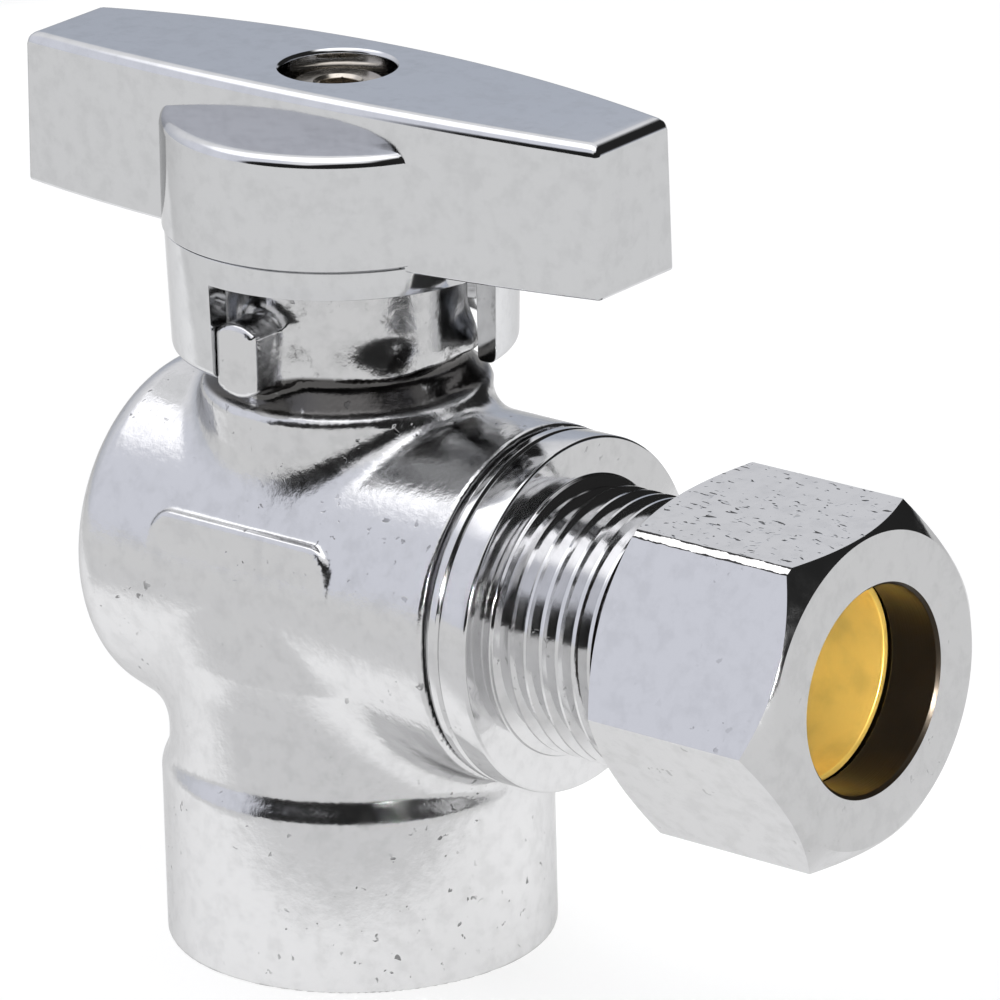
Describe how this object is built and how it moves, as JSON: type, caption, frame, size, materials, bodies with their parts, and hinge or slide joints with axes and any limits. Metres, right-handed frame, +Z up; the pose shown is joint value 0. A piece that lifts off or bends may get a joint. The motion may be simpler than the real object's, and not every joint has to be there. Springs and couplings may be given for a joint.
{
  "type": "angle stop valve",
  "caption": "Quarter-turn chromed angle stop valve with female threaded inlet, lever handle and compression outlet.",
  "frame": {"origin": "centre of the inlet mouth, in the plane of the inlet's rim", "axes": "+Z up along the stem axis, +X out along the outlet axis, -Y towards the stop peg; at rest the valve is open with its lever along the outlet"},
  "size_m": [0.0646, 0.0254, 0.058],
  "materials": {
    "cast_chrome": "bright chrome plate over a lightly pitted forging",
    "turned_chrome": "bright chrome plate over turned brass",
    "handle_chrome": "bright chrome plate over a smooth die casting",
    "ball_chrome": "polished chrome plate",
    "bare_brass": "bare turned brass",
    "screw_steel": "nickel-plated steel",
    "seat_plastic": "white PTFE",
    "seal_rubber": "black nitrile rubber"
  },
  "bodies": {
    "body": {"valve_body": "cast_chrome", "outlet_adapter": "turned_chrome", "adapter_o_ring": "seal_rubber", "ball_seat_rear": "seat_plastic", "ball_seat_outlet": "seat_plastic"},
    "lever": {"handle": "handle_chrome", "handle_screw": "screw_steel", "stem": "bare_brass", "stem_thrust_washer": "seat_plastic", "stem_o_ring_lower": "seal_rubber", "stem_o_ring_upper": "seal_rubber"},
    "ball": {"ball": "ball_chrome"},
    "sleeve": {"compression_sleeve": "bare_brass"},
    "nut": {"compression_nut": "turned_chrome"}
  },
  "joints": [
    {"name": "lever_turn", "type": "hinge", "parent": "body", "child": "lever", "pos_m": [0, 0, 0.0464], "axis": [0, 0, 1], "range_deg": [-90, 0]},
    {"name": "ball_turn", "type": "hinge", "parent": "body", "child": "ball", "pos_m": [0, 0, 0.0252], "axis": [0, 0, 1], "range_deg": [-90, 0]},
    {"name": "nut_turn", "type": "hinge", "parent": "sleeve", "child": "nut", "pos_m": [0.035, 0, 0.0252], "axis": [1, 0, 0], "range_deg": [-360, 720]},
    {"name": "sleeve_slide", "type": "slide", "parent": "body", "child": "sleeve", "axis": [1, 0, 0], "range_m": [-0.0013, 0.0026]}
  ],
  "couplings": [
    {"joint": "ball_turn", "follows": "lever_turn", "ratio": 1},
    {"joint": "sleeve_slide", "follows": "nut_turn", "m_per_rad": 0.00020213}
  ]
}
